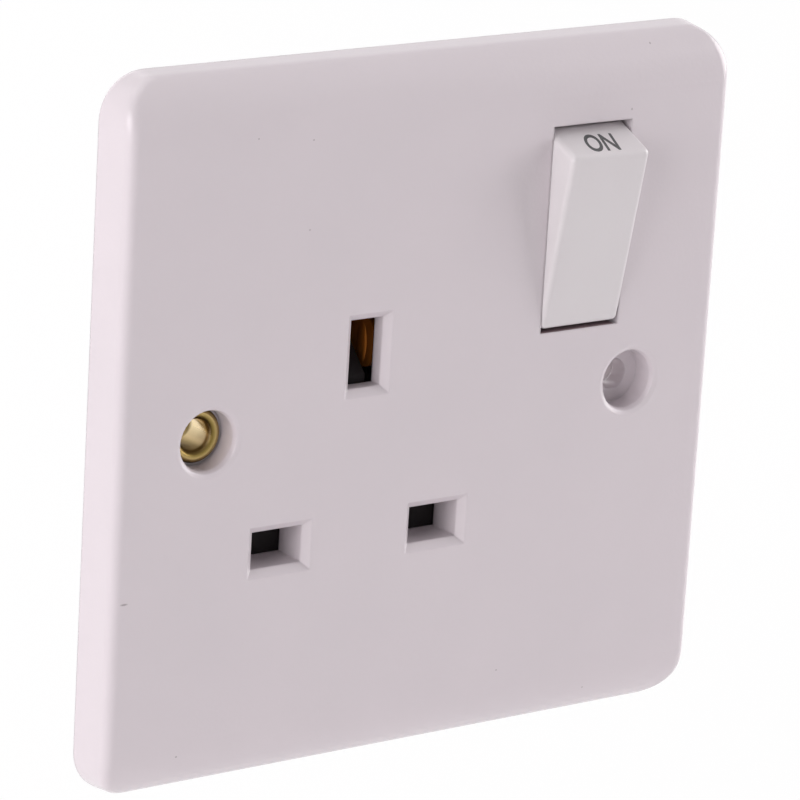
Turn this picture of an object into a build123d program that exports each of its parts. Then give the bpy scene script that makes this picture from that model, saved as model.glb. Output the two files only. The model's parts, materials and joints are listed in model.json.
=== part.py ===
from build123d import *
import os
from math import acos, atan, cos, degrees, pi, radians, sin, tan

os.makedirs("parts", exist_ok=True)

# Single switched wall socket, millimetres.
# X runs right as seen from the room, +Y runs into the wall and Z is up.
# The wall plane is y = 0 and the plate faces -Y. The origin is midway between the fixing holes.

# Plate moulding
plate_width = 86.0
plate_height = 86.0
plate_projection = 6.0
plate_wall = 2.5
plate_rim = 2.2
plate_corner_r = 5.5
plate_draft_deg = 6.5
plate_edge_r = 1.5
roll_r = 7.7
roll_wall_depth = 2.6
seam_tolerance = 0.01

# Fixing holes and the eyelet in the left one
fixing_pitch = 60.3
fixing_bore_r = 1.95
fixing_boss_half = 5.0
recess_r = 3.62
recess_depth = 3.4
recess_lip_r = 0.75
eyelet_flange_r = 3.35
eyelet_flange_t = 0.7
eyelet_tube_r = 2.4
eyelet_mouth_r = 2.75
eyelet_step = 0.35
eyelet_clinch_r = 3.1
eyelet_clearance = 0.05
eyelet_grip = 1.4

# Pin apertures, set out from the midpoint of the two lower pins
pins_x = -8.57
pins_z = -14.34
pin_pitch = 22.23
earth_rise = 22.23
blade_slot_w = 6.94
blade_slot_h = 4.52
earth_slot_w = 4.49
earth_slot_h = 8.34
mouth_chamfer_w = 0.9
mouth_chamfer_d = 0.83
sleeve_wall = 1.2
sleeve_back_y = -0.6

# Rocker, drawn about its pivot with its face square to the plate
rocker_x = 21.9
rocker_z = 20.15
rocker_slot_w = 11.65
rocker_slot_h = 25.3
rocker_side_gap = 0.14
rocker_pivot_y = -1.75
rocker_tilt_deg = 10.6
rocker_face_reach = 6.5
rocker_face_half = 11.14
rocker_skirt_reach = 0.5
rocker_skirt_half = 12.45
rocker_edge_r = 0.7
rocker_wall = 1.5
trunnion_r = 1.5
trunnion_clearance = 0.05
cheek_gap = 0.1
cheek_wall = 1.5
cheek_half = 4.0
cheek_back_y = 0.5

# Plunger in the rocker's boss
plunger_r = 2.0
plunger_fit = 0.05
plunger_nose_r = 1.6
plunger_nose_angle = 70
plunger_tail = 1.6
plunger_shoulder = 0.84
plunger_mid_clearance = 0.06
plunger_boss_wall = 1.05
plunger_boss_reach = 5.0
plunger_bore_floor = -4.0
plunger_wire_r = 0.22
plunger_coil_turns = 5
coil_chords = 8

# See-saw contact and its fulcrum
fulcrum_y = 10.0
fulcrum_r = 0.8
fulcrum_fit = 0.05
fulcrum_neck_t = 0.8
fulcrum_half = 2.9
seesaw_ratio = 0.85
seesaw_t = 1.0
seesaw_half_w = 2.5
seesaw_upper = 12.0
seesaw_lower = 8.5
seesaw_stop = 7.0
stop_post_w = 2.0
stop_post_h = 1.0
fixed_arm_below = 2.4
fixed_arm_above = 2.1
tip_half = 1.5
tip_t = 0.7
tip_reach = 10.0
tip_gap = 0.05

# Brass strip work
strip_t = 0.8
strip_w = 4.0
strip_clearance = 0.25
clip_grip = 3.6
clip_mouth = 5.4
clip_heel = 5.0
blade_clip_w = 7.0
earth_clip_w = 6.0
blade_clip_front_y = 3.8
blade_clip_throat_y = 7.0
earth_clip_front_y = -2.7
earth_clip_throat_y = 4.5
earth_leaf_corner_r = 1.4

# Pillar terminals
terminal_w = 8.0
terminal_front_y = 5.5
terminal_bore_r = 2.3
terminal_bore_y = 8.5
terminal_drop = 10.16
line_terminal_x = 18.5
earth_terminal_z = 28.0
screw_r = 2.0
screw_fit = 0.05
screw_length = 7.0
screw_slot_w = 0.8
screw_slot_d = 1.0
screw_access_half = 2.6
cable_entry_half = 2.9

# Shutter, its carrier and its spring
shutter_front_y = -0.4
shutter_t = 1.8
shutter_overlap = 0.75
shutter_stem_half = 1.5
ramp_nose_y = -3.2
ramp_nose_h = 2.0
ramp_top_z = 9.2
shutter_lug_half = 2.2
shutter_lug_front_y = -1.7
shutter_stop_offset = 4.4
spring_seat_t = 1.5
shutter_spring_y = -0.1
shutter_spring_r = 1.4
shutter_spring_length = 9.5
shutter_wire_r = 0.22
shutter_coil_turns = 6
spring_end_gap = 0.05
carrier_gap = 0.4
carrier_t = 1.4
carrier_side = 5.6
carrier_pin_gap = 0.4
carrier_stem_half = 5.3
carrier_top_z = 13.0
rail_gap = 0.15
rail_t = 1.0

# Rear housing
housing_wall = 1.6
housing_rear_wall = 2.0
housing_depth = 20.0
housing_seat_y = 0.0
housing_corner = 2.0
housing_bottom_z = -31.0
housing_top_z = 34.5
housing_lower_half = 28.5
housing_waist_half = 24.4
housing_waist_z = 5.6
housing_right_x = 31.0
housing_upper_left_x = -22.0
chamber_wall = 1.2
chamber_gap = 0.25
terminal_pocket_y = 9.0

# Screw that joins the housing to the plate
assembly_x = 1.2
assembly_z = 4.0
assembly_shank_r = 1.45
assembly_fit = 0.05
assembly_head_r = 2.8
assembly_head_t = 2.0
assembly_head_y = 11.0
assembly_tip_y = -2.4
assembly_boss_half = 3.0
assembly_boss_y = 4.0
assembly_tower_half = 4.0
assembly_recess_r = 3.1
assembly_hole_r = 1.6
assembly_pilot_end_y = -2.8
cross_w = 0.8
cross_l = 3.2
cross_d = 0.9

# Values worked out from those above
face_y = -plate_projection
cavity_y = face_y + plate_wall
recess_floor_y = face_y + recess_depth
draft_slope = tan(radians(plate_draft_deg))
crease_z = plate_height / 2 - roll_wall_depth * draft_slope
roll_angle = acos((roll_r - plate_projection + roll_wall_depth) / roll_r)
roll_z = crease_z - roll_r * sin(roll_angle)
roll_y = face_y + roll_r
fixing_x = fixing_pitch / 2
neutral_x = pins_x - pin_pitch / 2
line_x = pins_x + pin_pitch / 2
earth_z = pins_z + earth_rise
rocker_half_w = rocker_slot_w / 2 - rocker_side_gap
cheek_in = rocker_slot_w / 2 + cheek_gap
cheek_out = cheek_in + cheek_wall
seesaw_tilt_deg = rocker_tilt_deg * seesaw_ratio
seesaw_back = fulcrum_r + fulcrum_fit
seesaw_front = seesaw_back + seesaw_t
nose_reach = fulcrum_y - rocker_pivot_y - seesaw_front - plunger_mid_clearance - plunger_nose_r
rear_y = housing_depth - housing_rear_wall
strip_y = rear_y - strip_t
terminal_z = pins_z - terminal_drop
shutter_back_y = shutter_front_y + shutter_t
shutter_low_z = pins_z - blade_slot_h / 2 - shutter_overlap
shutter_high_z = pins_z + blade_slot_h / 2 + shutter_overlap
carrier_front_y = shutter_back_y + carrier_gap
carrier_back_y = carrier_front_y + carrier_t
strap_y = recess_floor_y + eyelet_grip


def front_plane(x, y, z):
    """Sketch plane facing the room: local x is X and local y is Z."""
    return Plane(origin=(x, y, z), x_dir=(1, 0, 0), z_dir=(0, -1, 0))


def side_plane(x):
    """Sketch plane facing +X: local x is Y and local y is Z."""
    return Plane(origin=(x, 0, 0), x_dir=(0, 1, 0), z_dir=(1, 0, 0))


def block(x, y, z):
    """Box between three (low, high) pairs."""
    centre = Pos((x[0] + x[1]) / 2, (y[0] + y[1]) / 2, (z[0] + z[1]) / 2)
    return centre * Box(x[1] - x[0], y[1] - y[0], z[1] - z[0])


def around(middle, half):
    """(low, high) pair of a span about its middle."""
    return (middle - half, middle + half)


def rod_y(x, z, r, y):
    """Cylinder along Y between a (low, high) pair."""
    return Pos(x, (y[0] + y[1]) / 2, z) * Rot(90, 0, 0) * Cylinder(r, y[1] - y[0])


def rod_x(r, x, y=0, z=0):
    """Cylinder along X between a (low, high) pair."""
    return Pos((x[0] + x[1]) / 2, y, z) * Rot(0, 90, 0) * Cylinder(r, x[1] - x[0])


def rod_z(x, y, r, z):
    """Cylinder along Z between a (low, high) pair."""
    return Pos(x, y, (z[0] + z[1]) / 2) * Cylinder(r, z[1] - z[0])


def sheet(sketch, y):
    """Flat sketch in X and Z raised between a (low, high) pair in Y."""
    return extrude(front_plane(0, y[1], 0) * sketch, amount=y[1] - y[0], dir=(0, -1, 0))


def across(sketch, x):
    """Profile in Y and Z drawn out between a (low, high) pair in X."""
    return extrude(side_plane(x[0]) * sketch, amount=x[1] - x[0], dir=(1, 0, 0))


def upright(sketch, z):
    """Plan in X and Y raised between a (low, high) pair in Z."""
    return extrude(Plane.XY.offset(z[0]) * sketch, amount=z[1] - z[0], dir=(0, 0, 1))


def track(points, width):
    """Face of even width that follows the points, mitred at each one."""
    return trace(Polyline(*points), line_width=width)


def on_rocker(shape):
    """Carries a shape from the pivot's own frame to the switched-on rocker."""
    return Pos(rocker_x, rocker_pivot_y, rocker_z) * Rot(rocker_tilt_deg, 0, 0) * shape


def on_seesaw(shape):
    """Carries a shape from the fulcrum's own frame to the switched-on see-saw."""
    return Pos(rocker_x, fulcrum_y, rocker_z) * Rot(-seesaw_tilt_deg, 0, 0) * shape


def coil(mean_r, wire_r, turns, length):
    """Compression spring along Z from its lower end at the origin, its turns in short chords."""
    rise = length - 2 * wire_r
    steps = coil_chords * turns
    turn = 2 * pi / coil_chords
    spots = [(mean_r * cos(turn * i), mean_r * sin(turn * i)) for i in range(steps + 1)]
    path = Polyline(*[(x, y, wire_r + rise * i / steps) for i, (x, y) in enumerate(spots)])
    start = Plane(origin=path @ 0, z_dir=path % 0)
    return sweep(start * RegularPolygon(wire_r, 4), path=path, transition=Transition.RIGHT)


def rolled_profile(depth, r):
    """Section of the plate in Y and Z: flat face, rolled at top and bottom, open at the wall."""
    end = acos(roll_y / r)
    mid = end / 2
    face = roll_y - r
    spots = [(roll_y - r * cos(a), roll_z + r * sin(a)) for a in (mid, end)]
    upper = ThreePointArc((face, roll_z), spots[0], spots[1])
    lower = ThreePointArc((face, -roll_z), (spots[0][0], -spots[0][1]), (spots[1][0], -spots[1][1]))
    front = Line((face, -roll_z), (face, roll_z))
    back = Line(spots[1], (spots[1][0], -spots[1][1]))
    return across(make_face([front, upper, back, lower]), (-depth, depth))


def drafted(outline, depth):
    """Outline at the wall drawn towards the room with draft."""
    return extrude(front_plane(0, 0, 0) * outline, amount=depth, taper=plate_draft_deg)


def plate_shell():
    """Drafted tray with rolled top and bottom edges and a softened rim."""
    skin = drafted(RectangleRounded(plate_width, plate_height, plate_corner_r), plate_projection)
    skin &= rolled_profile(plate_width, roll_r)
    rim = [e for e in skin.edges() if max(v.Y for v in e.vertices()) < -roll_wall_depth / 2]
    flat_end = [e for e in rim if abs(abs(e.center().Z) - roll_z) < seam_tolerance]
    tangent = [e for e in flat_end if abs(e.center().Y - face_y) < seam_tolerance]
    skin = fillet([e for e in rim if e not in tangent], plate_edge_r)
    inside = Rectangle(plate_width - 2 * plate_rim, plate_height - 2 * plate_rim)
    hollow = drafted(chamfer(inside.vertices(), plate_corner_r - plate_rim), plate_projection - plate_wall)
    return skin - (hollow & rolled_profile(plate_width, roll_r - plate_wall))


def aperture(x, z, w, h):
    """Through slot with a chamfered mouth."""
    mouth_plane = Plane(origin=(x, face_y, z), x_dir=(1, 0, 0), z_dir=(0, 1, 0))
    mouth_sketch = Rectangle(w + 2 * mouth_chamfer_w, h + 2 * mouth_chamfer_w)
    slope = degrees(atan(mouth_chamfer_w / mouth_chamfer_d))
    mouth = extrude(mouth_plane * mouth_sketch, amount=mouth_chamfer_d, taper=slope)
    return mouth + block(around(x, w / 2), (face_y, housing_depth), around(z, h / 2))


def fixing_recess(x, bore_r):
    """Round recess with a lip eased in two steps and the screw's bore through its floor."""
    lip = recess_lip_r
    ease = lip * (1 - cos(radians(45)))
    section = Polyline(
        (0, face_y),
        (0, recess_floor_y),
        (recess_r, recess_floor_y),
        (recess_r, face_y + lip),
        (recess_r + ease, face_y + ease),
        (recess_r + lip, face_y),
        close=True,
    )
    cut = revolve(make_face(section), Axis.Y)
    return Pos(x, 0, 0) * cut + rod_y(x, 0, bore_r, (face_y, housing_depth))


def panel(x, z, corner):
    """Rectangle in X and Z between (low, high) pairs, its corners taken off where a size is given."""
    face = Pos((x[0] + x[1]) / 2, (z[0] + z[1]) / 2) * Rectangle(x[1] - x[0], z[1] - z[0])
    return chamfer(face.vertices(), corner) if corner else face


def housing_outline(inset, corner=0):
    """Lower and upper blocks, drawn in by an inset, with a waist that clears the box's screw lugs."""
    step = housing_waist_z + inset
    lower_x = around(0, housing_lower_half - inset)
    upper_x = (housing_upper_left_x + inset, housing_right_x - inset)
    lower = panel(lower_x, (housing_bottom_z + inset, -step), corner)
    upper = panel(upper_x, (step, housing_top_z - inset), corner)
    waist = panel(around(0, housing_waist_half - inset), around(0, step + corner), 0)
    return lower + upper + waist


def front_plate():
    plate = plate_shell()
    blade_slots = [(x, pins_z, blade_slot_w, blade_slot_h) for x in (neutral_x, line_x)]
    for x, z, w, h in blade_slots:
        spans = (around(x, w / 2 + sleeve_wall), (cavity_y, sleeve_back_y), around(z, h / 2 + sleeve_wall))
        plate += block(*spans)
    plate += block(around(fixing_x, fixing_boss_half), (cavity_y, 0), around(0, fixing_boss_half))
    plate += block(around(-fixing_x, fixing_boss_half), (cavity_y, strap_y), around(0, fixing_boss_half))
    upstand = sheet(housing_outline(0, housing_corner) - housing_outline(housing_wall), (cavity_y, housing_seat_y))
    slot_x = (-housing_waist_half, housing_wall - housing_waist_half)
    slot_y = (strap_y - strip_clearance, housing_seat_y)
    upstand -= block(slot_x, slot_y, around(0, strip_w / 2 + strip_clearance))
    upstand -= block(around(-fixing_x, strip_w + strip_clearance), slot_y, around(0, strip_w + strip_clearance))
    plate += upstand
    for side in (-1, 1):
        cheek_x = rocker_x + side * (cheek_in + cheek_out) / 2
        plate += block(around(cheek_x, cheek_wall / 2), (cavity_y, cheek_back_y), around(rocker_z, cheek_half))
        stop_x = around(pins_x + side * shutter_stop_offset, sleeve_wall / 2)
        stop_z = (shutter_high_z + rail_gap, shutter_high_z + rail_gap + sleeve_wall)
        plate += block(stop_x, (cavity_y, shutter_back_y - rail_gap), stop_z)
    seat_top = shutter_low_z - shutter_spring_length
    seat_z = (seat_top - spring_seat_t, seat_top)
    plate += block(around(pins_x, shutter_lug_half), (cavity_y, carrier_front_y - rail_gap), seat_z)
    boss_x = around(assembly_x, assembly_boss_half)
    plate += block(boss_x, (cavity_y, assembly_boss_y), around(assembly_z, assembly_boss_half))
    pilot_y = (assembly_pilot_end_y, assembly_boss_y)
    plate -= rod_y(assembly_x, assembly_z, assembly_shank_r + assembly_fit, pilot_y)
    for slot in blade_slots:
        plate -= aperture(*slot)
    plate -= aperture(pins_x, earth_z, earth_slot_w, earth_slot_h)
    plate -= fixing_recess(fixing_x, fixing_bore_r)
    plate -= fixing_recess(-fixing_x, eyelet_tube_r + eyelet_clearance)
    rocker_well = (face_y, cavity_y)
    plate -= block(around(rocker_x, rocker_slot_w / 2), rocker_well, around(rocker_z, rocker_slot_h / 2))
    bearing_r = trunnion_r + trunnion_clearance
    bearing_x = around(rocker_x, cheek_out)
    plate -= rod_x(bearing_r, bearing_x, rocker_pivot_y, rocker_z)
    plate -= block(bearing_x, (rocker_pivot_y, cheek_back_y), around(rocker_z, bearing_r))
    return plate


def rocker():
    """Hollow rocker with sloping ends, trunnions and the plunger's boss."""
    front = -rocker_face_reach
    outline = Polygon(
        (-rocker_skirt_reach, -rocker_skirt_half),
        (front, -rocker_face_half),
        (front, rocker_face_half),
        (-rocker_skirt_reach, rocker_skirt_half),
        align=None,
    )
    body = across(outline, (-rocker_half_w, rocker_half_w))
    front_edges = [e for e in body.edges() if min(v.Y for v in e.vertices()) < front + rocker_edge_r]
    body = fillet(front_edges, rocker_edge_r)
    inner = Polygon(
        (0, rocker_wall - rocker_skirt_half),
        (front + rocker_wall, rocker_wall - rocker_face_half),
        (front + rocker_wall, rocker_face_half - rocker_wall),
        (0, rocker_skirt_half - rocker_wall),
        align=None,
    )
    body -= across(inner, (rocker_wall - rocker_half_w, rocker_half_w - rocker_wall))
    boss = around(0, plunger_r + plunger_fit + plunger_boss_wall)
    body += block(boss, (front + rocker_wall, plunger_boss_reach), boss)
    for side in (-1, 1):
        trunnion = sorted((side * (rocker_half_w - rocker_wall), side * (cheek_out - cheek_gap)))
        body += rod_x(trunnion_r, trunnion)
    body -= rod_y(0, 0, plunger_r + plunger_fit, (plunger_bore_floor, plunger_boss_reach))
    return on_rocker(body)


def plunger():
    """Chisel-nosed pin that leans across the see-saw."""
    shoulder = nose_reach - plunger_shoulder
    flat = plunger_nose_r * cos(radians(plunger_nose_angle))
    tip = nose_reach + plunger_nose_r * sin(radians(plunger_nose_angle))
    chisel = Polygon(
        (plunger_tail, -plunger_r),
        (shoulder, -plunger_r),
        (tip, -flat),
        (tip, flat),
        (shoulder, plunger_r),
        (plunger_tail, plunger_r),
        align=None,
    )
    pin = rod_y(0, 0, plunger_r, (plunger_tail, tip))
    return on_rocker(pin & across(chisel, around(0, plunger_r)))


def plunger_spring():
    length = plunger_tail - plunger_bore_floor - 2 * spring_end_gap
    mean_r = plunger_r - 2 * plunger_wire_r
    spring = coil(mean_r, plunger_wire_r, plunger_coil_turns, length)
    return on_rocker(Pos(0, plunger_tail - spring_end_gap, 0) * Rot(90, 0, 0) * spring)


def moving_contact():
    """Brass blade with a half-round saddle that rocks on the fulcrum."""
    width = (-seesaw_half_w, seesaw_half_w)
    blade = block(width, (-seesaw_front, -seesaw_back), (-seesaw_lower, seesaw_upper))
    saddle = rod_x(seesaw_front, width) & block(width, (-seesaw_front, 0), around(0, seesaw_front))
    return on_seesaw(blade + saddle - rod_x(seesaw_back, width))


def contact_pad(start_y):
    """Silver pad on the see-saw's upper arm, in the fulcrum's own frame."""
    return block(around(0, tip_half), (start_y, start_y + tip_t), around(tip_reach, tip_half))


def moving_contact_tip():
    return on_seesaw(contact_pad(-seesaw_back))


def fixed_contact_tip():
    return on_seesaw(contact_pad(tip_t - seesaw_back + tip_gap))


def fixed_arm():
    """Hooked end of the line contact that carries the fixed tip."""
    leg_y = 2 * tip_t - seesaw_back + tip_gap + strip_t / 2
    tilt = radians(seesaw_tilt_deg)

    def leg_point(reach):
        y = fulcrum_y + leg_y * cos(tilt) + reach * sin(tilt)
        return (y, rocker_z - leg_y * sin(tilt) + reach * cos(tilt))

    low = leg_point(tip_reach - fixed_arm_below)
    high = leg_point(tip_reach + fixed_arm_above)
    back_y = strip_y + strip_t / 2
    points = [low, high, (back_y, high[1]), (back_y, rocker_z + tip_reach - strip_w / 2)]
    return across(track(points, strip_t), around(rocker_x, strip_w / 2))


def clip_profile(front_y, throat_y):
    """Folded pin clip as (depth, offset) points from one mouth to the other."""
    half = [
        (front_y, (clip_mouth + strip_t) / 2),
        (throat_y, (clip_grip + strip_t) / 2),
        (strip_y + strip_t / 2, (clip_heel + strip_t) / 2),
    ]
    return [(y, -offset) for y, offset in half] + half[::-1]


def blade_clip(x):
    """Clip whose leaves lie above and below a flat pin."""
    points = [(y, pins_z + offset) for y, offset in clip_profile(blade_clip_front_y, blade_clip_throat_y)]
    return across(track(points, strip_t), around(x, blade_clip_w / 2))


def earth_clip():
    """Clip whose leaves lie either side of the upright pin, with rounded leaf corners."""
    points = [(pins_x + offset, y) for y, offset in clip_profile(earth_clip_front_y, earth_clip_throat_y)]
    clip = upright(track(points, strip_t), around(earth_z, earth_clip_w / 2))
    leaf = Rectangle(rear_y - earth_clip_front_y, earth_clip_w)
    leaf = fillet(leaf.vertices().sort_by(Axis.X)[:2], earth_leaf_corner_r)
    middle = Plane(origin=(0, (rear_y + earth_clip_front_y) / 2, earth_z), x_dir=(0, 1, 0), z_dir=(1, 0, 0))
    return clip & extrude(middle * leaf, amount=plate_width, both=True)


def bus(points):
    """Flat strip on the housing's rear wall through (x, z) points."""
    return sheet(track(points, strip_w), (strip_y, rear_y))


line_rise_x = line_x + blade_clip_w
line_bus_points = [(line_x, pins_z), (line_rise_x, pins_z)]
line_bus_points += [(line_rise_x, rocker_z + tip_reach), (rocker_x + strip_w / 2, rocker_z + tip_reach)]
neutral_bus_points = [(neutral_x, pins_z), (neutral_x, terminal_z)]
earth_bus_points = [(pins_x, -strip_w / 2), (pins_x, earth_terminal_z)]
feed_bus_points = [(line_terminal_x, terminal_z), (line_terminal_x, rocker_z + strip_w / 2)]


def forked(strip, x, z):
    """Strip with a pad under a pillar terminal, slotted outwards for the clamping screw."""
    half = terminal_w / 2
    slot_half = screw_r + strip_clearance
    slot_z = (z - slot_half, z + half) if z > 0 else (z - half, z + slot_half)
    pad = block(around(x, half), (strip_y, rear_y), around(z, half))
    return strip + pad - block(around(x, slot_half), (strip_y, rear_y), slot_z)


def neutral_contact():
    return forked(blade_clip(neutral_x) + bus(neutral_bus_points), neutral_x, terminal_z)


def earth_contact():
    return forked(earth_clip() + bus(earth_bus_points), pins_x, earth_terminal_z)


def line_contact():
    return blade_clip(line_x) + bus(line_bus_points) + fixed_arm()


def line_feed():
    """Strip from the line terminal with an upstand that ends in the fulcrum ridge."""
    foot_x = (line_terminal_x, rocker_x + fulcrum_half)
    neck_x = around(rocker_x, fulcrum_half)
    feed = bus(feed_bus_points) + block(foot_x, (strip_y, rear_y), around(rocker_z, strip_w / 2))
    feed += block(neck_x, (fulcrum_y, rear_y), around(rocker_z, fulcrum_neck_t / 2))
    feed += rod_x(fulcrum_r, neck_x, fulcrum_y, rocker_z)
    return forked(feed, line_terminal_x, terminal_z)


def earth_strap():
    """Strap from a lug under the eyelet, through the housing wall, to the earth strip."""
    ring_y = strap_y + strip_t / 2
    inside_x = -housing_waist_half + housing_wall + chamber_gap + strip_t / 2
    run_y = strip_y - strip_t / 2
    points = [(-fixing_x, ring_y), (inside_x, ring_y), (inside_x, run_y), (pins_x, run_y)]
    strap = upright(track(points, strip_t), around(0, strip_w / 2))
    ring = (strap_y, strap_y + strip_t)
    strap += block(around(-fixing_x, strip_w), ring, around(0, strip_w))
    return strap - rod_y(-fixing_x, 0, eyelet_tube_r + eyelet_clearance, ring)


def earth_eyelet():
    """Turned brass eyelet: dished flange on the recess floor, tube, clinched tail."""
    top = recess_floor_y - eyelet_flange_t
    tail = strap_y + strip_t
    section = Polyline(
        (eyelet_flange_r, top),
        (eyelet_mouth_r, top),
        (fixing_bore_r, top + eyelet_step),
        (fixing_bore_r, 0),
        (eyelet_clinch_r, 0),
        (eyelet_clinch_r, tail),
        (eyelet_tube_r, tail),
        (eyelet_tube_r, recess_floor_y),
        (eyelet_flange_r, recess_floor_y),
        close=True,
    )
    return Pos(-fixing_x, 0, 0) * revolve(make_face(section), Axis.Y)


def terminal(x, z):
    """Pillar block with the conductor's bore along Z and the screw's along Y."""
    body = block(around(x, terminal_w / 2), (terminal_front_y, strip_y), around(z, terminal_w / 2))
    body = chamfer(body.edges().filter_by(Axis.Y), screw_slot_w)
    body -= rod_z(x, terminal_bore_y, terminal_bore_r, around(z, terminal_w / 2))
    return body - rod_y(x, z, screw_r + screw_fit, (terminal_bore_y, strip_y))


def terminal_screw(x, z):
    """Headless clamping screw, backed off clear of the bore."""
    screw = rod_y(x, z, screw_r, (rear_y - screw_length, rear_y))
    slot_y = (rear_y - screw_slot_d, rear_y)
    return screw - block(around(x, screw_r), slot_y, around(z, screw_slot_w / 2))


def shutter():
    """Slider with a bar across the blade apertures, a stem and the long pin's ramp."""
    bar_x = (neutral_x - blade_slot_w / 2 - shutter_overlap, line_x + blade_slot_w / 2 + shutter_overlap)
    thick = (shutter_front_y, shutter_back_y)
    body = block(bar_x, thick, (shutter_low_z, shutter_high_z))
    body += block(around(pins_x, shutter_lug_half), (shutter_lug_front_y, shutter_back_y), (shutter_low_z, pins_z))
    nose_top = ramp_top_z - (shutter_back_y - ramp_nose_y)
    nose_low = nose_top - ramp_nose_h
    heel = nose_low - (shutter_front_y - ramp_nose_y)
    ramp = Polygon(
        (ramp_nose_y, nose_low),
        (ramp_nose_y, nose_top),
        (shutter_back_y, ramp_top_z),
        (shutter_back_y, pins_z),
        (shutter_front_y, pins_z),
        (shutter_front_y, heel),
        align=None,
    )
    return body + across(ramp, around(pins_x, shutter_stem_half))


def shutter_spring():
    spring = coil(shutter_spring_r, shutter_wire_r, shutter_coil_turns, shutter_spring_length - 2 * spring_end_gap)
    return Pos(pins_x, shutter_spring_y, shutter_low_z - shutter_spring_length + spring_end_gap) * spring


def shutter_carrier():
    """Plate behind the shutter with the pin windows and the stem's rails."""
    thick = (carrier_front_y, carrier_back_y)
    half_h = (blade_clip_w + carrier_side) / 2
    lower_x = (neutral_x - carrier_side, line_x + carrier_side)
    plate = block(lower_x, thick, around(pins_z, half_h))
    plate += block(around(pins_x, carrier_stem_half), thick, (pins_z, carrier_top_z))
    for x in (neutral_x, line_x):
        window = (blade_slot_w / 2 + carrier_pin_gap, blade_slot_h / 2 + carrier_pin_gap)
        plate -= block(around(x, window[0]), thick, around(pins_z, window[1]))
    leaf_half = clip_mouth / 2 + strip_t + carrier_pin_gap
    plate -= block(around(pins_x, leaf_half), thick, around(earth_z, earth_slot_h / 2 + carrier_pin_gap))
    rail_z = (shutter_high_z + 2 * sleeve_wall, earth_z - earth_slot_h / 2 - carrier_pin_gap)
    for side in (-1, 1):
        rail = sorted(pins_x + side * (shutter_stem_half + rail_gap + step) for step in (0, rail_t))
        plate += block(rail, (shutter_front_y, carrier_front_y), rail_z)
    return plate


def chamber(x, z, half_w, half_h, front_y):
    """Wall round a contact or terminal, standing on the rear wall, with its hollow."""
    gap = chamber_gap
    wall = gap + chamber_wall
    outer = block(around(x, half_w + wall), (front_y, rear_y), around(z, half_h + wall))
    inner = block(around(x, half_w + gap), (front_y, rear_y), around(z, half_h + gap))
    return outer, inner


def rear_housing():
    shell = sheet(housing_outline(0, housing_corner), (housing_seat_y, housing_depth))
    hollow = sheet(housing_outline(housing_wall), (housing_seat_y, rear_y))
    terminals = [(neutral_x, terminal_z), (line_terminal_x, terminal_z), (pins_x, earth_terminal_z)]
    clip_half = (clip_mouth + 2 * strip_t) / 2
    blade_half = blade_clip_w / 2
    earth_half = earth_clip_w / 2
    chambers = [chamber(x, pins_z, blade_half, clip_half, carrier_back_y) for x in (neutral_x, line_x)]
    chambers.append(chamber(pins_x, earth_z, clip_half, earth_half, carrier_back_y))
    pocket_half = terminal_w / 2
    chambers += [chamber(x, z, pocket_half, pocket_half, terminal_pocket_y) for x, z in terminals]
    ribs = Part()
    for outer, inner in chambers:
        ribs += outer
    for outer, inner in chambers:
        ribs -= inner
    cheek_rib = (cheek_back_y, rear_y)
    tongue = (rocker_pivot_y, cheek_back_y)
    for side in (-1, 1):
        rib_x = around(rocker_x + side * (cheek_in + cheek_out) / 2, cheek_wall / 2)
        ribs += block(rib_x, cheek_rib, around(rocker_z, cheek_half))
        ribs += block(rib_x, tongue, around(rocker_z, trunnion_r))
    ribs -= rod_x(trunnion_r + trunnion_clearance, around(rocker_x, cheek_out), rocker_pivot_y, rocker_z)
    tilt = radians(seesaw_tilt_deg)
    stop_y = fulcrum_y + seesaw_stop * sin(tilt) - seesaw_back * cos(tilt) + strip_clearance
    stop_z = around(rocker_z - seesaw_stop, stop_post_h / 2)
    ribs += block(around(rocker_x, stop_post_w / 2), (stop_y, rear_y), stop_z)
    tower_x = around(assembly_x, assembly_tower_half)
    ribs += block(tower_x, (assembly_boss_y, rear_y), around(assembly_z, assembly_tower_half))
    housing = shell - hollow + (ribs & sheet(housing_outline(housing_wall / 2), (cavity_y, housing_depth)))
    for points in (line_bus_points, neutral_bus_points, earth_bus_points, feed_bus_points):
        path = track(points, strip_w + 2 * strip_clearance)
        housing -= sheet(path, (strip_y - strip_clearance, rear_y))
    housing -= rod_y(assembly_x, assembly_z, assembly_recess_r, (assembly_head_y, housing_depth))
    housing -= rod_y(assembly_x, assembly_z, assembly_hole_r, (assembly_boss_y, housing_depth))
    for x, z in terminals:
        housing -= block(around(x, screw_access_half), (rear_y, housing_depth), around(z, screw_access_half))
        outward = (z, z + 2 * terminal_w) if z > 0 else (z - 2 * terminal_w, z)
        housing -= block(around(x, cable_entry_half), around(terminal_bore_y, cable_entry_half), outward)
    return housing


def assembly_screw():
    """Pan-head screw from the rear with a cross recess."""
    head = (assembly_head_y, assembly_head_y + assembly_head_t)
    screw = rod_y(assembly_x, assembly_z, assembly_shank_r, (assembly_tip_y, assembly_head_y))
    screw += rod_y(assembly_x, assembly_z, assembly_head_r, head)
    recess = (head[1] - cross_d, head[1])
    for half_x, half_z in ((cross_l / 2, cross_w / 2), (cross_w / 2, cross_l / 2)):
        screw -= block(around(assembly_x, half_x), recess, around(assembly_z, half_z))
    return screw


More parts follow.
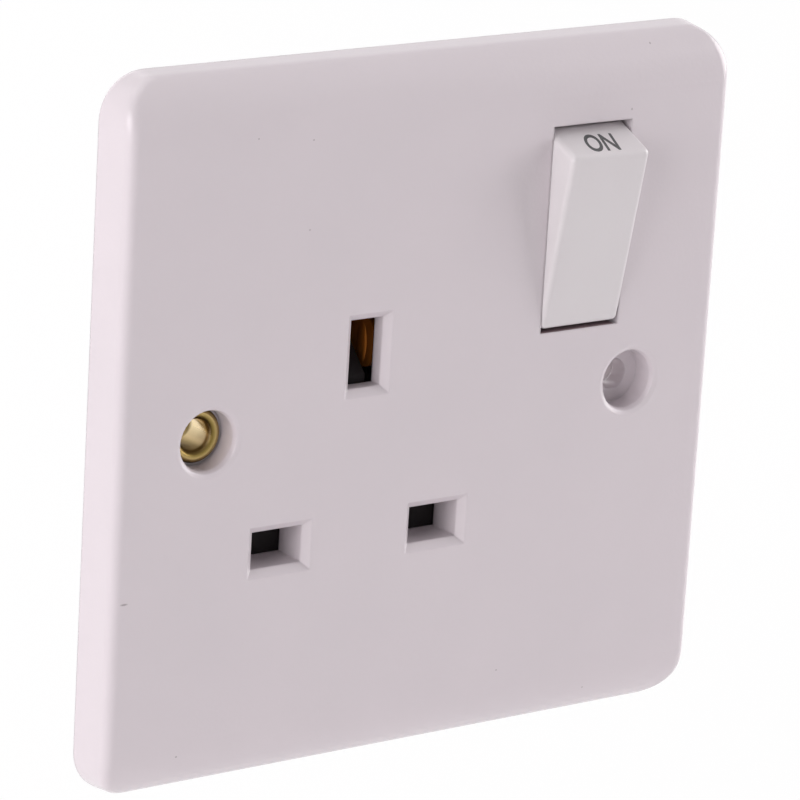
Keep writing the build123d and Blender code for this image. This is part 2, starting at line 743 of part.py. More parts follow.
pieces = {
    "front_plate": front_plate(),
    "rear_housing": rear_housing(),
    "assembly_screw": assembly_screw(),
    "rocker": rocker(),
    "plunger": plunger(),
    "plunger_spring": plunger_spring(),
    "moving_contact": moving_contact(),
    "moving_contact_tip": moving_contact_tip(),
    "fixed_contact_tip": fixed_contact_tip(),
    "line_contact": line_contact(),
    "line_feed": line_feed(),
    "neutral_contact": neutral_contact(),
    "earth_contact": earth_contact(),
    "earth_strap": earth_strap(),
    "earth_eyelet": earth_eyelet(),
    "shutter": shutter(),
    "shutter_spring": shutter_spring(),
    "shutter_carrier": shutter_carrier(),
}
for name, spot in {
    "line": (line_terminal_x, terminal_z),
    "neutral": (neutral_x, terminal_z),
    "earth": (pins_x, earth_terminal_z),
}.items():
    pieces[f"{name}_terminal"] = terminal(*spot)
    pieces[f"{name}_terminal_screw"] = terminal_screw(*spot)

for node, shape in pieces.items():
    export_step(shape, f"parts/{node}.step")
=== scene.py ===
import bpy
import bmesh
import json
import math
from mathutils import Matrix, Vector


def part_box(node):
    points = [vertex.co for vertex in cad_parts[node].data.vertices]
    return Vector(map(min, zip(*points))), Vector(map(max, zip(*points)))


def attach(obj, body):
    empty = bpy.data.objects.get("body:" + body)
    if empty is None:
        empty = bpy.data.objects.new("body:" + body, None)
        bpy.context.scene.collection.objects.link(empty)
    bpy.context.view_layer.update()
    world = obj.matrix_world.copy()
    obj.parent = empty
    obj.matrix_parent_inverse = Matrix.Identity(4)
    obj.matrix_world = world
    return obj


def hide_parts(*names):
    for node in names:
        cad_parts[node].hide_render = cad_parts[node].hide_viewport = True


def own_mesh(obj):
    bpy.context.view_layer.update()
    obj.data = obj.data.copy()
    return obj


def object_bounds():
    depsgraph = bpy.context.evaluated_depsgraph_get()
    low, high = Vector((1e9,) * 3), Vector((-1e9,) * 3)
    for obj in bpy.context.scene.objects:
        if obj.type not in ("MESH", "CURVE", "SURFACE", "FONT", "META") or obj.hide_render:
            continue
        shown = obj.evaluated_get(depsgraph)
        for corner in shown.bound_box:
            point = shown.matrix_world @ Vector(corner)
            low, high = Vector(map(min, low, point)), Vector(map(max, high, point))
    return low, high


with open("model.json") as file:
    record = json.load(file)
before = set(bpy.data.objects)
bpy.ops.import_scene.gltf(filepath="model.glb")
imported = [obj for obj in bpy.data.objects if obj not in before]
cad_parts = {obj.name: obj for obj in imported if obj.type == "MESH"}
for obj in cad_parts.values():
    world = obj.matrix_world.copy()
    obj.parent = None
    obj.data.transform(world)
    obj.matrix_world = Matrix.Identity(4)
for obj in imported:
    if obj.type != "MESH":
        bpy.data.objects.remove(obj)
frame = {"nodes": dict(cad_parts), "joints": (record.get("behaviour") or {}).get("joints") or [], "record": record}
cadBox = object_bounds()
scene = bpy.context.scene
mm = 0.001
sharpAngle = math.radians(40)  # edges that turn further than this stay crisp
print("frame loaded:", len(frame["nodes"]), "nodes")


# Small helpers

def linear(hexColour):
    shares = [int(hexColour[at:at + 2], 16) / 255 for at in (1, 3, 5)]
    return [s / 12.92 if s <= 0.04045 else ((s + 0.055) / 1.055) ** 2.4 for s in shares] + [1.0]


def perMm(size):
    return 1 / (size * mm)  # texture cells per metre for a pattern of this size


def metres(*values):
    return Vector(values) * mm


def middleOf(node):
    low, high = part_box(node)
    return (Vector(low) + Vector(high)) / 2


def addNode(tree, kind, settings, links):
    node = tree.nodes.new(kind)
    for key, value in settings.items():
        if isinstance(key, int) or key in node.inputs:
            node.inputs[key].default_value = value
        else:
            setattr(node, key, value)
    for key, source in links.items():
        tree.links.new(source, node.inputs[key])
    return node


def fillRamp(ramp, stops):
    positions, colours = zip(*stops)
    elements = ramp.color_ramp.elements
    elements[0].position, elements[-1].position = positions[0], positions[-1]
    for position in positions[1:-1]:
        elements.new(position)
    for element, colour in zip(elements, colours):
        element.color = linear(colour)


def newMaterial(name):
    material = bpy.data.materials.new(name)
    material.use_nodes = True
    return material, material.node_tree, material.node_tree.nodes["Principled BSDF"]


def finishPiece(bm, name, material, smooth=True):
    mesh = bpy.data.meshes.new(name)
    for edge in bm.edges:
        edge.smooth = edge.calc_face_angle(0) < sharpAngle
    bm.to_mesh(mesh)
    bm.free()
    mesh.materials.append(material)
    for face in mesh.polygons:
        face.use_smooth = smooth
    piece = bpy.data.objects.new(name, mesh)
    scene.collection.objects.link(piece)
    return piece


# Moulded plastics: a near-even colour with slow mottling, a satin skin and eased edges.
# The tool's own grain is finer than a pixel, so it is drawn coarse enough to show.

plasticSkin = {"mottleDetail": 3, "grainDetail": 2, "edgeSamples": 6, "sheen": 0.5}


def mouldedPlastic(name, look):
    material, tree, shader = newMaterial(name)
    place = addNode(tree, "ShaderNodeTexCoord", {}, {}).outputs["Object"]
    mottle = addNode(
        tree, "ShaderNodeTexNoise",
        {"Scale": perMm(look["mottleMm"]), "Detail": plasticSkin["mottleDetail"]},
        {"Vector": place},
    ).outputs["Fac"]
    tint = addNode(
        tree, "ShaderNodeMix",
        {"data_type": "RGBA", 6: linear(look["colour"]), 7: linear(look["shade"])},
        {0: mottle},
    ).outputs[2]
    grain = addNode(
        tree, "ShaderNodeTexNoise",
        {"Scale": perMm(look["grainMm"]), "Detail": plasticSkin["grainDetail"]},
        {"Vector": place},
    )
    gloss = addNode(
        tree, "ShaderNodeMapRange",
        {"To Min": look["roughness"] - look["spread"], "To Max": look["roughness"] + look["spread"]},
        {"Value": mottle},
    )
    eased = addNode(
        tree, "ShaderNodeBevel",
        {"samples": plasticSkin["edgeSamples"], "Radius": look["edgeMm"] * mm}, {},
    )
    bump = addNode(
        tree, "ShaderNodeBump",
        {"Strength": look["bump"], "Distance": look["grainMm"] * mm},
        {"Height": grain.outputs["Fac"], "Normal": eased.outputs["Normal"]},
    )
    shader.inputs["IOR"].default_value = look["ior"]
    shader.inputs["Specular IOR Level"].default_value = look.get("sheen", plasticSkin["sheen"])
    tree.links.new(tint, shader.inputs["Base Color"])
    tree.links.new(gloss.outputs["Result"], shader.inputs["Roughness"])
    tree.links.new(bump.outputs["Normal"], shader.inputs["Normal"])
    return material, tree, place, tint


# Urea formaldehyde, pressed in a polished tool: lilac-white, eggshell gloss, with dust caught on the face
plateLook = {
    "colour": "#DDD5D9", "shade": "#D7D0D4", "roughness": 0.24, "spread": 0.03, "ior": 1.55,
    "mottleMm": 16, "grainMm": 0.5, "bump": 0.03, "edgeMm": 0.35,
    "dustColour": "#6A5F61", "dustStrength": 0.55,
    "dustFade": (0.4, 1.0),  # shares of a fleck's half size where it starts and ends to thin out
    # centre and half size of each fleck, in millimetres
    "dust": [
        ((-17.97, -6.0, 34.41), (0.14, 0.3, 0.12)),
        ((-25.47, -6.0, 35.22), (0.12, 0.3, 0.12)),
        ((-17.86, -6.0, 23.84), (0.16, 0.3, 0.1)),
        ((31.01, -4.13, 41.34), (0.14, 0.3, 0.16)),
        ((27.54, -6.0, 34.0), (0.12, 0.3, 0.2)),
        ((-32.59, -5.81, -37.99), (0.16, 0.3, 0.16)),
        ((26.83, -5.42, -39.23), (0.14, 0.3, 0.12)),
        ((12.94, -6.0, -34.55), (0.16, 0.3, 0.1)),
        ((-40.74, -6.0, -17.98), (0.6, 0.5, 0.16)),
    ],
}


def platePlastic():
    material, tree, place, tint = mouldedPlastic("plateMoulding_ureaPressed", plateLook)
    fadeFrom, fadeTo = plateLook["dustFade"]
    worst = None
    for centre, half in plateLook["dust"]:
        away = addNode(
            tree, "ShaderNodeVectorMath", {"operation": "SUBTRACT", 1: metres(*centre)}, {0: place}
        )
        share = addNode(
            tree, "ShaderNodeVectorMath", {"operation": "DIVIDE", 1: metres(*half)}, {0: away.outputs[0]}
        )
        reach = addNode(tree, "ShaderNodeVectorMath", {"operation": "LENGTH"}, {0: share.outputs[0]})
        fleck = addNode(
            tree, "ShaderNodeMapRange",
            {"From Min": fadeFrom, "From Max": fadeTo, "To Min": plateLook["dustStrength"], "To Max": 0.0},
            {"Value": reach.outputs["Value"]},
        ).outputs["Result"]
        if worst is not None:
            fleck = addNode(
                tree, "ShaderNodeMath", {"operation": "MAXIMUM"}, {0: worst, 1: fleck}
            ).outputs[0]
        worst = fleck
    dusty = addNode(
        tree, "ShaderNodeMix",
        {"data_type": "RGBA", 7: linear(plateLook["dustColour"])},
        {0: worst, 6: tint},
    )
    tree.links.new(dusty.outputs[2], tree.nodes["Principled BSDF"].inputs["Base Color"])
    return material


# Polycarbonate, injection moulded: whiter and more even than the plate
rockerLook = {
    "colour": "#DEDBDC", "shade": "#DAD5D7", "roughness": 0.3, "spread": 0.02, "ior": 1.58,
    "mottleMm": 9, "grainMm": 0.4, "bump": 0.02, "edgeMm": 0.45,
}
# Thermoset back moulding, pressed: duller grey-white with a coarser skin
housingLook = {
    "colour": "#D6D2D0", "shade": "#CBC6C4", "roughness": 0.5, "spread": 0.06, "ior": 1.55,
    "mottleMm": 10, "grainMm": 0.6, "bump": 0.12, "edgeMm": 0.25,
}
# Black nylon slider, injection moulded: matt, takes almost no light inside the apertures
shutterLook = {
    "colour": "#1C1819", "shade": "#242021", "roughness": 0.6, "spread": 0.06, "ior": 1.53,
    "mottleMm": 4, "grainMm": 0.4, "bump": 0.08, "edgeMm": 0.15, "sheen": 0.15,
}
# Black nylon inner plate, moulded from the slider's resin: a little smoother and colder
carrierLook = {
    "colour": "#1A1A1B", "shade": "#222123", "roughness": 0.55, "spread": 0.05, "ior": 1.53,
    "mottleMm": 6, "grainMm": 0.5, "bump": 0.06, "edgeMm": 0.15, "sheen": 0.15,
}
# Acetal plunger, injection moulded: waxy and off-white
plungerLook = {
    "colour": "#E2E3E0", "shade": "#D8DAD8", "roughness": 0.3, "spread": 0.04, "ior": 1.48,
    "mottleMm": 3, "grainMm": 0.3, "bump": 0.03, "edgeMm": 0.15,
}


# Worked metals: stretched noise for the rolled or drawn grain, blotches for handling tarnish.
# The real grain is finer than a pixel, so it is drawn coarse enough to show.

metalSkin = {"grainDetail": 4, "blotchDetail": 3}


def workedMetal(name, look):
    material, tree, shader = newMaterial(name)
    place = addNode(tree, "ShaderNodeTexCoord", {}, {}).outputs["Object"]
    along = addNode(tree, "ShaderNodeMapping", {"Scale": look["stretch"]}, {"Vector": place})
    grain = addNode(
        tree, "ShaderNodeTexNoise",
        {"Scale": perMm(look["grainMm"]), "Detail": metalSkin["grainDetail"]},
        {"Vector": along.outputs[0]},
    ).outputs["Fac"]
    blotch = addNode(
        tree, "ShaderNodeTexNoise",
        {"Scale": perMm(look["blotchMm"]), "Detail": metalSkin["blotchDetail"]},
        {"Vector": place},
    )
    tint = addNode(
        tree, "ShaderNodeMix",
        {"data_type": "RGBA", 6: linear(look["colour"]), 7: linear(look["tarnish"])},
        {0: blotch.outputs["Fac"]},
    )
    gloss = addNode(
        tree, "ShaderNodeMapRange",
        {"To Min": look["roughness"] - look["spread"], "To Max": look["roughness"] + look["spread"]},
        {"Value": grain},
    )
    bump = addNode(
        tree, "ShaderNodeBump",
        {"Strength": look["bump"], "Distance": look["grainMm"] * mm},
        {"Height": grain},
    )
    shader.inputs["Metallic"].default_value = 1.0
    tree.links.new(tint.outputs[2], shader.inputs["Base Color"])
    tree.links.new(gloss.outputs["Result"], shader.inputs["Roughness"])
    tree.links.new(bump.outputs["Normal"], shader.inputs["Normal"])
    return material, tree, place


# Rolled brass strip: faint lines down its length, a dulled orange where it lies in the dark
stripLook = {
    "colour": "#C07A34", "tarnish": "#9C5E26", "roughness": 0.62, "spread": 0.06,
    "stretch": (1.0, 0.15, 0.15), "grainMm": 0.25, "blotchMm": 5, "bump": 0.12,
}
# Turned brass eyelet, olive round the roll, with tarnish blotches: painted highlights in its throat and on the
# roll's crest, painted shade in the groove, round the rim, low down and deep inside
eyeletLook = {
    "colour": "#B9A264", "tarnish": "#A08A50", "roughness": 0.26, "spread": 0.06,
    "stretch": (1.0, 1.0, 1.0), "grainMm": 0.3, "blotchMm": 2, "bump": 0.04,
    "ringMm": (1.8, 3.4),  # radii at the ends of the ring colours
    # ring colours by radius: painted highlights in the throat and on the crest, painted shade in the groove and at
    # the rim
    "rings": [
        (0.0, "#FBE6BE"), (0.06, "#F3DAAA"), (0.2, "#5C4B24"), (0.36, "#84703F"),
        (0.6, "#B9A16C"), (0.82, "#927B49"), (0.97, "#463A20"),
    ],
    # painted shade: colour and roughness where the brass is darkened low down, deep in the hole and in the throat
    "grimeColour": "#75633A", "grimeRoughness": 0.45,
    # unshaded and fully shaded ends of the painted shade in millimetres, along Z, along Y and by radius
    "grimeLow": (0.1, -1.7), "grimeDeep": (0.5, 1.3), "grimeIn": (2.4, 2.0),
}
# Sawn and drilled brass bar for the pillars: pale yellow with cutting marks
terminalLook = {
    "colour": "#CFA860", "tarnish": "#B58C48", "roughness": 0.3, "spread": 0.08,
    "stretch": (1.0, 0.1, 1.0), "grainMm": 0.2, "blotchMm": 4, "bump": 0.1,
}
# Silver alloy contact rivets, cold headed: soft white metal
silverLook = {
    "colour": "#D8D4CC", "tarnish": "#BDB8AE", "roughness": 0.28, "spread": 0.06,
    "stretch": (1.0, 1.0, 1.0), "grainMm": 0.2, "blotchMm": 1.5, "bump": 0.06,
}
# Drawn spring steel wire: dark, with a polished drawing skin
springLook = {
    "colour": "#8C8A88", "tarnish": "#6E6B69", "roughness": 0.3, "spread": 0.08,
    "stretch": (1.0, 1.0, 1.0), "grainMm": 0.12, "blotchMm": 1.5, "bump": 0.06,
}
# Zinc plated steel screws: blue-white, slightly cloudy
screwLook = {
    "colour": "#BEC2C6", "tarnish": "#A2A5A6", "roughness": 0.32, "spread": 0.08,
    "stretch": (1.0, 1.0, 1.0), "grainMm": 0.25, "blotchMm": 2, "bump": 0.08,
}


def eyeletBrass():
    material, tree, place = workedMetal("eyeletBrass_turned", eyeletLook)
    away = addNode(
        tree, "ShaderNodeVectorMath", {"operation": "SUBTRACT", 1: middleOf("earth_eyelet")}, {0: place}
    )
    flat = addNode(
        tree, "ShaderNodeVectorMath", {"operation": "MULTIPLY", 1: (1, 0, 1)}, {0: away.outputs[0]}
    )
    radius = addNode(
        tree, "ShaderNodeVectorMath", {"operation": "LENGTH"}, {0: flat.outputs[0]}
    ).outputs["Value"]
    near, far = metres(*eyeletLook["ringMm"])
    share = addNode(tree, "ShaderNodeMapRange", {"From Min": near, "From Max": far}, {"Value": radius})
    # painted highlights and shade, as colours by radius from the hole's axis
    rings = addNode(tree, "ShaderNodeValToRGB", {}, {"Fac": share.outputs["Result"]})
    fillRamp(rings, eyeletLook["rings"])
    axes = addNode(tree, "ShaderNodeSeparateXYZ", {}, {0: place})
    # painted shade: darker brass lower down and deeper in the hole, only inside the throat
    grime = {}
    for way, source in {"Low": axes.outputs["Z"], "Deep": axes.outputs["Y"], "In": radius}.items():
        unshadedEnd, shadedEnd = metres(*eyeletLook["grime" + way])
        grime[way] = addNode(
            tree, "ShaderNodeMapRange", {"From Min": unshadedEnd, "From Max": shadedEnd}, {"Value": source}
        ).outputs["Result"]
    either = addNode(
        tree, "ShaderNodeMath", {"operation": "MAXIMUM"}, {0: grime["Low"], 1: grime["Deep"]}
    )
    paintedShadeMask = addNode(
        tree, "ShaderNodeMath", {"operation": "MULTIPLY"}, {0: either.outputs[0], 1: grime["In"]}
    ).outputs[0]
    # ring colours darkened by the painted shade
    worn = addNode(
        tree, "ShaderNodeMix",
        {"data_type": "RGBA", 7: linear(eyeletLook["grimeColour"])},
        {0: paintedShadeMask, 6: rings.outputs["Color"]},
    )
    dull = addNode(
        tree, "ShaderNodeMapRange",
        {"To Min": eyeletLook["roughness"], "To Max": eyeletLook["grimeRoughness"]},
        {"Value": paintedShadeMask},
    )
    shader = tree.nodes["Principled BSDF"]
    tree.links.new(worn.outputs[2], shader.inputs["Base Color"])
    tree.links.new(dull.outputs["Result"], shader.inputs["Roughness"])
    return material


plasticLooks = {
    "rocker_moulding": ("rockerMoulding_polycarbonate", rockerLook),
    "housing_moulding": ("housingMoulding_thermoset", housingLook),
    "shutter_moulding": ("shutterMoulding_blackNylon", shutterLook),
    "carrier_moulding": ("carrierMoulding_blackNylon", carrierLook),
    "plunger_moulding": ("plungerMoulding_acetal", plungerLook),
}
metalLooks = {
    "strip_brass": ("stripBrass_rolled", stripLook),
    "terminal_brass": ("terminalBrass_drilled", terminalLook),
    "contact_silver": ("contactSilver_headed", silverLook),
    "spring_steel": ("springSteel_drawn", springLook),
    "screw_steel": ("screwSteel_zincPlated", screwLook),
}
finishes = {"plate_moulding": platePlastic(), "eyelet_brass": eyeletBrass()}
finishes.update({slot: mouldedPlastic(*look)[0] for slot, look in plasticLooks.items()})
finishes.update({slot: workedMetal(*look)[0] for slot, look in metalLooks.items()})

# The record says which slot each node wears
for entry in frame["record"]["subparts"]:
    dress = frame["nodes"][entry["node"]].data.materials
    dress.clear()
    dress.append(finishes[entry["material_slot"]])
print("materials on nodes:", len(finishes))


# Spun pieces at the fixing holes

turning = {"steps": 96, "arcSteps": 10}
# Radii, and depths along Y from the wall plane
eyelet = {
    "radius": {"rim": 3.35, "crest": 2.75, "throat": 1.85, "tube": 2.4, "clinch": 3.1, "spout": 2.2},
    "depth": {"top": -3.3, "foot": -2.6, "throatFrom": -2.3, "tail": -0.4, "wall": 0, "end": 2.0},
}
collar = {"inner": 1.95, "outer": 3.0, "wall": 0, "end": 2.0, "ease": 0.3}


def quarterArc(middle, reach, start, end):
    arc = []
    for step in range(turning["arcSteps"] + 1):
        angle = start + (end - start) * step / turning["arcSteps"]
        arc.append((middle[0] + reach[0] * math.cos(angle), middle[1] + reach[1] * math.sin(angle)))
    return arc


def spunPiece(name, centre, section, slot):
    # The section is (radius, depth) in millimetres, turned round the hole's axis
    bm = bmesh.new()
    verts = [bm.verts.new((centre.x + radius * mm, depth * mm, centre.z)) for radius, depth in section]
    edges = [bm.edges.new(pair) for pair in zip(verts, verts[1:] + verts[:1])]
    bmesh.ops.spin(
        bm, geom=verts + edges, cent=centre, axis=(0, 1, 0),
        angle=2 * math.pi, steps=turning["steps"], use_merge=True,
    )
    bmesh.ops.recalc_face_normals(bm, faces=bm.faces)
    piece = finishPiece(bm, name, finishes[slot])
    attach(piece, "socket")
    return piece


def buildEyelet():
    # Round roll on the recess floor, throat and clinched tail
    radius, depth, square = eyelet["radius"], eyelet["depth"], math.pi / 2
    section = quarterArc(
        (radius["crest"], depth["foot"]),
        (radius["rim"] - radius["crest"], depth["top"] - depth["foot"]), 0, square,
    )
    section += quarterArc(
        (radius["crest"], depth["throatFrom"]),
        (radius["throat"] - radius["crest"], depth["top"] - depth["throatFrom"]), square, 0,
    )[1:]
    corners = [
        ("throat", "end"), ("spout", "end"), ("spout", "wall"), ("clinch", "wall"),
        ("clinch", "tail"), ("tube", "tail"), ("tube", "foot"),
    ]
    section += [(radius[across], depth[down]) for across, down in corners]
    piece = spunPiece("earthEyelet", middleOf("earth_eyelet"), section, "eyelet_brass")
    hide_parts("earth_eyelet")


def buildCollar():
    # Raised rim behind the plain fixing hole, which mirrors the eyelet's
    inner, outer, ease = collar["inner"], collar["outer"], collar["ease"]
    wall, end = collar["wall"], collar["end"]
    section = [(inner, wall), (inner, end), (outer - ease, end), (outer, end - ease), (outer, wall)]
    across = middleOf("earth_eyelet")
    spunPiece("fixingCollar", Vector((-across.x, 0, across.z)), section, "plate_moulding")


buildEyelet()
buildCollar()
print("fixing holes done")


# Strips in the rocker's aperture: a pale facing on its near side, flush with the plate,
# and a dark strip on its foot, which paints the shade in the gap under the rocker

# Painted shade: a dull brown grey strip without shine, standing for the shade in the gap
paintedShadeLook = {
    "colour": "#8A7679", "shade": "#806D72", "roughness": 0.8, "spread": 0.05, "ior": 1.5,
    "mottleMm": 0.6, "grainMm": 0.15, "bump": 0.1, "edgeMm": 0.02, "sheen": 0.2,
}
aperture = {"left": 16.075, "right": 27.725, "foot": 7.5, "head": 32.8, "face": -6.0, "back": -3.5}
facing = {"thick": 0.1}
shadeStrip = {"thick": 0.05, "setBack": 0.08, "short": 0.525}  # short of the aperture's far side


def buildStrip(name, low, high, finish):
    low, high = metres(*low), metres(*high)
    bm = bmesh.new()
    bmesh.ops.create_cube(bm, size=1)
    bmesh.ops.scale(bm, verts=bm.verts, vec=high - low)
    bmesh.ops.translate(bm, verts=bm.verts, vec=(low + high) / 2)
    piece = finishPiece(bm, name, finish, smooth=False)
    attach(piece, "socket")


def buildApertureStrips():
    inside = aperture["left"] + facing["thick"]
    buildStrip(
        "facingLeft",
        (aperture["left"], aperture["face"], aperture["foot"]),
        (inside, aperture["back"], aperture["head"]),
        finishes["plate_moulding"],
    )
    # painted shade: a thin dark strip on the aperture's foot, under the rocker
    buildStrip(
        "paintedShadeFoot",
        (inside, aperture["face"] + shadeStrip["setBack"], aperture["foot"]),
        (aperture["right"] - shadeStrip["short"], aperture["back"], aperture["foot"] + shadeStrip["thick"]),
        mouldedPlastic("paintedShade_stripMaterial", paintedShadeLook)[0],  # a material of its own
    )


buildApertureStrips()
print("aperture strips done")


# Long bulges pressed into the earth contact's two leaves, which catch the light in the top aperture

leafBulge = {
    "between": (-8.57, -0.6, 7.6), "aside": 2.66, "half": (0.42, 1.1, 3.1),
    "round": 32, "rings": 24,
}


def buildLeafBulges():
    for name, side in (("leafBulgeLeft", -1), ("leafBulgeRight", 1)):
        bm = bmesh.new()
        bmesh.ops.create_uvsphere(
            bm, u_segments=leafBulge["round"], v_segments=leafBulge["rings"], radius=1
        )
        bmesh.ops.scale(bm, verts=bm.verts, vec=metres(*leafBulge["half"]))
        place = metres(*leafBulge["between"]) + metres(side * leafBulge["aside"], 0, 0)
        bmesh.ops.translate(bm, verts=bm.verts, vec=place)
        piece = finishPiece(bm, name, finishes["strip_brass"])
        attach(piece, "socket")


# Rest pose of the rocker, read from its joint and the plunger's
joints = {joint["name"]: joint for joint in frame["joints"]}
rockerPivot = Vector(joints["rocker_turn"]["pos_m"])
plungerWay = Vector(joints["plunger_slide"]["axis"]).normalized()
rockerTurn = Vector((0, 1, 0)).rotation_difference(plungerWay).to_matrix().to_4x4()
rockerPlace = Matrix.Translation(rockerPivot) @ rockerTurn


# Round wire springs, where the shutter and the plunger press on them

coil = {"wireRadius": 0.22, "round": 10, "perTurn": 32}
shutterSpring = {"mean": 1.4, "turns": 6, "travel": 5.5}
plungerSpring = {"mean": 1.56, "turns": 5, "travel": 0.33, "near": 1.55, "far": -3.95}  # from the pivot


def buildCoil(name, node, body, place, spring, length):
    wire = coil["wireRadius"] * mm
    steps = coil["perTurn"] * spring["turns"]
    bm = bmesh.new()
    bmesh.ops.create_circle(bm, cap_ends=False, radius=wire, segments=coil["round"])
    upright = Matrix.Translation((spring["mean"] * mm, 0, wire)) @ Matrix.Rotation(math.pi / 2, 4, "X")
    bmesh.ops.transform(bm, matrix=upright, verts=bm.verts)
    bmesh.ops.spin(
        bm, geom=bm.verts[:] + bm.edges[:], cent=(0, 0, 0), axis=(0, 0, 1),
        dvec=(0, 0, (length * mm - 2 * wire) / steps),
        angle=2 * math.pi * spring["turns"], steps=steps,
    )
    bmesh.ops.holes_fill(bm, edges=[edge for edge in bm.edges if edge.is_boundary])
    bmesh.ops.recalc_face_normals(bm, faces=bm.faces)
    bmesh.ops.transform(bm, matrix=place, verts=bm.verts)
    piece = finishPiece(bm, name, finishes["spring_steel"])
    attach(piece, body)
    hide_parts(node)
    return piece


def buildShutterSpring():
    low, high = (Vector(corner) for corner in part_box("shutter_spring"))
    foot = Vector(((low.x + high.x) / 2, (low.y + high.y) / 2, low.z))
    length = (high.z - low.z) / mm
    piece = buildCoil(
        "shutterSpring", "shutter_spring", "socket", Matrix.Translation(foot), shutterSpring, length
    )
    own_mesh(piece)


def buildPlungerSpring():
    near, far = plungerSpring["near"], plungerSpring["far"]
    length = near - far
    place = rockerPlace @ Matrix.Translation(metres(0, near, 0)) @ Matrix.Rotation(math.pi / 2, 4, "X")
    piece = buildCoil("plungerSpring", "plunger_spring", "rocker", place, plungerSpring, length)
    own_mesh(piece)


buildLeafBulges()
buildShutterSpring()
buildPlungerSpring()
print("contacts and springs done")


# "ON", printed on the rocker's sloping top end

onMark = {
    "text": "ON", "height": 3.35, "width": 4.35, "weight": 0.02, "lean": 0.1, "turn": -3.0,
    "ink": 0.012, "lift": 0.004, "weld": 0.001,
    "front": (-6.5, 11.14), "back": (-0.5, 12.45),  # the end face's two edges, (y, z) from the pivot
    "along": 2.5, "aside": -0.15,
}
# Pad-printed ink: flat dark grey, a little broken where the pad lifted
inkLook = {"colour": "#3A3B3C", "worn": "#565657", "roughness": 0.5, "breakMm": 0.5, "breakDetail": 3}


def printedInk():
    material, tree, shader = newMaterial("printInk_padPrinted")
    place = addNode(tree, "ShaderNodeTexCoord", {}, {}).outputs["Object"]
    breakUp = addNode(
        tree, "ShaderNodeTexNoise",
        {"Scale": perMm(inkLook["breakMm"]), "Detail": inkLook["breakDetail"]},
        {"Vector": place},
    )
    tint = addNode(
        tree, "ShaderNodeMix",
        {"data_type": "RGBA", 6: linear(inkLook["colour"]), 7: linear(inkLook["worn"])},
        {0: breakUp.outputs["Fac"]},
    )
    shader.inputs["Roughness"].default_value = inkLook["roughness"]
    tree.links.new(tint.outputs[2], shader.inputs["Base Color"])
    return material


def letterMesh():
    curve = bpy.data.curves.new("onMark", "FONT")
    curve.body = onMark["text"]
    curve.offset = onMark["weight"]
    curve.align_x = "CENTER"
    curve.align_y = "CENTER"
    curve.extrude = onMark["ink"] * mm / 2
    holder = bpy.data.objects.new("onMarkCurve", curve)
    scene.collection.objects.link(holder)
    bpy.context.view_layer.update()
    shown = holder.evaluated_get(bpy.context.evaluated_depsgraph_get())
    mesh = bpy.data.meshes.new_from_object(shown)
    bpy.data.objects.remove(holder)
    bm = bmesh.new()
    bm.from_mesh(mesh)
    bmesh.ops.remove_doubles(bm, verts=bm.verts, dist=onMark["weld"] * mm)
    bpy.data.meshes.remove(mesh)
    return bm


def fitLetters(bm):
    # Centres the letters on the origin at their size and leaves their depth alone
    xs = [vert.co.x for vert in bm.verts]
    ys = [vert.co.y for vert in bm.verts]
    middle = Vector(((min(xs) + max(xs)) / 2, (min(ys) + max(ys)) / 2, 0))
    wider = onMark["width"] * mm / (max(xs) - min(xs))
    taller = onMark["height"] * mm / (max(ys) - min(ys))
    bmesh.ops.translate(bm, verts=bm.verts, vec=-middle)
    bmesh.ops.scale(bm, verts=bm.verts, vec=(wider, taller, 1))
    lean = Matrix.Shear("XZ", 4, (onMark["lean"], 0)).to_4x4()
    bmesh.ops.transform(bm, matrix=lean, verts=bm.verts)


def buildOnMark():
    bm = letterMesh()
    fitLetters(bm)
    front = Vector((0, *onMark["front"])) * mm
    back = Vector((0, *onMark["back"])) * mm
    sideways = Vector((1, 0, 0))
    upward = (back - front).normalized()
    outward = sideways.cross(upward)
    middle = front + upward * onMark["along"] * mm + outward * onMark["lift"] * mm
    middle.x += onMark["aside"] * mm
    endFace = Matrix((sideways, upward, outward)).transposed().to_4x4()
    turn = Matrix.Rotation(math.radians(onMark["turn"]), 4, "Z")
    place = rockerPlace @ Matrix.Translation(middle) @ endFace @ turn
    bmesh.ops.transform(bm, matrix=place, verts=bm.verts)
    piece = finishPiece(bm, "onMark", printedInk(), smooth=False)
    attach(piece, "rocker")


buildOnMark()
print("print on rocker done")


# Studio: pale floor well below the part, white background, a faint sky and four broad soft boxes

studio = {
    "floorDrop": 45.0, "floorSize": 6000, "floorColour": "#F2F0F1", "floorRoughness": 0.5,
    "floorShow": 0.93,  # share of plain white where the floor is seen, the rest keeps the shadow
    "white": (1, 1, 1, 1), "skyColour": "#FFFDFE", "skyLevel": 0.2,
    # place, width and watts of each soft box, which faces the part: left, right, above and behind
    "lamps": [
        ((-1000, -200, 200), 900, 9.6),
        ((1000, -200, 200), 900, 11.6),
        ((0, 200, 1000), 900, 3.9),
        ((0, 1000, 300), 900, 5.2),
    ],
    "lampColour": "#FFFBFD",
}


def seenDirectly(tree):
    # One for the rays that show the background itself, nothing for those that light the part
    path = addNode(tree, "ShaderNodeLightPath", {}, {})
    seen = path.outputs["Is Camera Ray"]
    for ray in ("Is Glossy Ray", "Is Transmission Ray"):
        seen = addNode(
            tree, "ShaderNodeMath",
            {"operation": "ADD", "use_clamp": True},
            {0: seen, 1: path.outputs[ray]},
        ).outputs[0]
    return seen


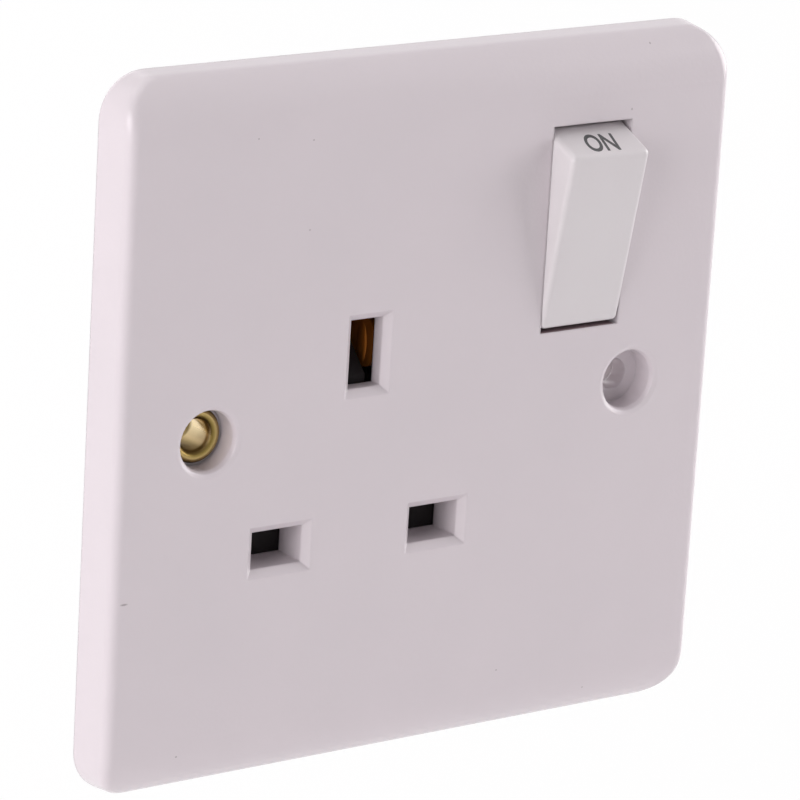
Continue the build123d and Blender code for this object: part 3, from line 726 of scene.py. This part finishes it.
def buildFloor():
    bm = bmesh.new()
    bmesh.ops.create_grid(bm, x_segments=1, y_segments=1, size=studio["floorSize"] * mm / 2)
    level = cadBox[0][2] - studio["floorDrop"] * mm
    bmesh.ops.translate(bm, verts=bm.verts, vec=(0, 0, level))
    material, tree, shader = newMaterial("studioFloor_paper")
    shader.inputs["Base Color"].default_value = linear(studio["floorColour"])
    shader.inputs["Roughness"].default_value = studio["floorRoughness"]
    white = addNode(tree, "ShaderNodeEmission", {"Color": studio["white"], "Strength": 1.0}, {})
    share = addNode(
        tree, "ShaderNodeMath",
        {"operation": "MULTIPLY", 1: studio["floorShow"]},
        {0: seenDirectly(tree)},
    )
    blend = addNode(
        tree, "ShaderNodeMixShader", {},
        {0: share.outputs[0], 1: shader.outputs[0], 2: white.outputs[0]},
    )
    tree.links.new(blend.outputs[0], tree.nodes["Material Output"].inputs["Surface"])
    finishPiece(bm, "studioFloor", material, smooth=False)


def buildSky():
    world = bpy.data.worlds.new("studioSky")
    world.use_nodes = True
    tree = world.node_tree
    tree.nodes.clear()
    light = addNode(
        tree, "ShaderNodeBackground",
        {"Color": linear(studio["skyColour"]), "Strength": studio["skyLevel"]}, {},
    )
    white = addNode(tree, "ShaderNodeBackground", {"Color": studio["white"], "Strength": 1.0}, {})
    both = addNode(
        tree, "ShaderNodeMixShader", {},
        {0: seenDirectly(tree), 1: light.outputs[0], 2: white.outputs[0]},
    )
    addNode(tree, "ShaderNodeOutputWorld", {}, {"Surface": both.outputs[0]})
    scene.world = world


def buildLamp(number, place, width, watts):
    name = "softBox%d" % number
    data = bpy.data.lights.new(name, "AREA")
    data.shape = "SQUARE"
    data.size = width * mm
    data.energy = watts
    data.color = linear(studio["lampColour"])[:3]
    lamp = bpy.data.objects.new(name, data)
    lamp.location = metres(*place)
    lamp.rotation_euler = (-lamp.location).to_track_quat("-Z", "Y").to_euler()
    scene.collection.objects.link(lamp)


buildFloor()
buildSky()
for number, lamp in enumerate(studio["lamps"]):
    buildLamp(number, *lamp)
print("studio done")


# Camera where the photograph was taken from

photoView = {
    "target": (-3.08, -5.0, 1.42), "azimuth": -35.80, "elevation": 16.82, "roll": 3.44,
    "distance": 555.85, "lens": 213.34, "sensor": 36.0, "clipStart": 10,
}


def buildCamera():
    data = bpy.data.cameras.new("photoCamera")
    data.lens = photoView["lens"]
    data.sensor_width = photoView["sensor"]
    data.clip_start = photoView["clipStart"] * mm
    camera = bpy.data.objects.new("photoCamera", data)
    turn = Matrix.Rotation(math.radians(photoView["azimuth"]), 4, "Z")
    tilt = Matrix.Rotation(math.radians(90 - photoView["elevation"]), 4, "X")
    roll = Matrix.Rotation(math.radians(photoView["roll"]), 4, "Z")
    away = Matrix.Translation(metres(0, 0, photoView["distance"]))
    camera.matrix_world = Matrix.Translation(metres(*photoView["target"])) @ turn @ tilt @ roll @ away
    scene.collection.objects.link(camera)
    scene.camera = camera


buildCamera()
scene.view_settings.view_transform = "Standard"
print("camera done")
